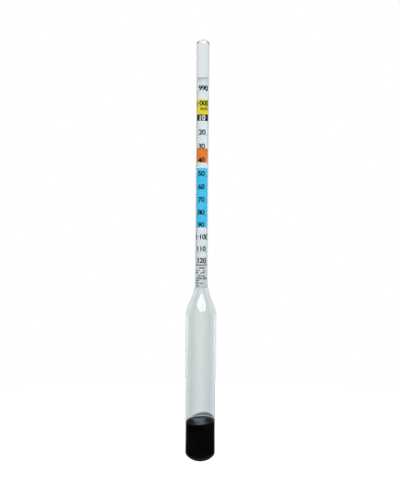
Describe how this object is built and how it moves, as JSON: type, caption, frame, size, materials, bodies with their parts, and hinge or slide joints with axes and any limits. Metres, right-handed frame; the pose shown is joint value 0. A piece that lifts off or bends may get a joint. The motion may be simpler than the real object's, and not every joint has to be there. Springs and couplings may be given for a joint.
{
  "type": "hydrometer",
  "caption": "Sealed glass float with a weighted bulb and a thin stem that holds a rolled paper scale, for reading the specific gravity of wort, must or beer.",
  "frame": {"origin": "lowest point of the rounded bulb, on the axis", "axes": "+Z along the axis from the bulb to the tip of the stem; -Y faces the reader of the scale; +X to the reader's right"},
  "size_m": [0.0182, 0.0182, 0.25],
  "materials": {
    "envelope_glass": "polished",
    "scale_paper": "matte",
    "scale_glue": "gloss",
    "black_resin": "gloss",
    "steel_shot": "satin"
  },
  "bodies": {
    "root": {"stem_tube": "envelope_glass", "bulb_shell": "envelope_glass", "scale_roll": "scale_paper", "scale_glue_upper": "scale_glue", "scale_glue_lower": "scale_glue", "ballast_resin": "black_resin", "shot_01": "steel_shot", "shot_02": "steel_shot", "shot_03": "steel_shot", "shot_04": "steel_shot", "shot_05": "steel_shot", "shot_06": "steel_shot", "shot_07": "steel_shot", "shot_08": "steel_shot", "shot_09": "steel_shot", "shot_10": "steel_shot", "shot_11": "steel_shot", "shot_12": "steel_shot", "shot_13": "steel_shot", "shot_14": "steel_shot", "shot_15": "steel_shot", "shot_16": "steel_shot", "shot_17": "steel_shot", "shot_18": "steel_shot", "shot_19": "steel_shot", "shot_20": "steel_shot", "shot_21": "steel_shot", "shot_22": "steel_shot", "shot_23": "steel_shot", "shot_24": "steel_shot", "shot_25": "steel_shot", "shot_26": "steel_shot", "shot_27": "steel_shot", "shot_28": "steel_shot"}
  },
  "joints": []
}
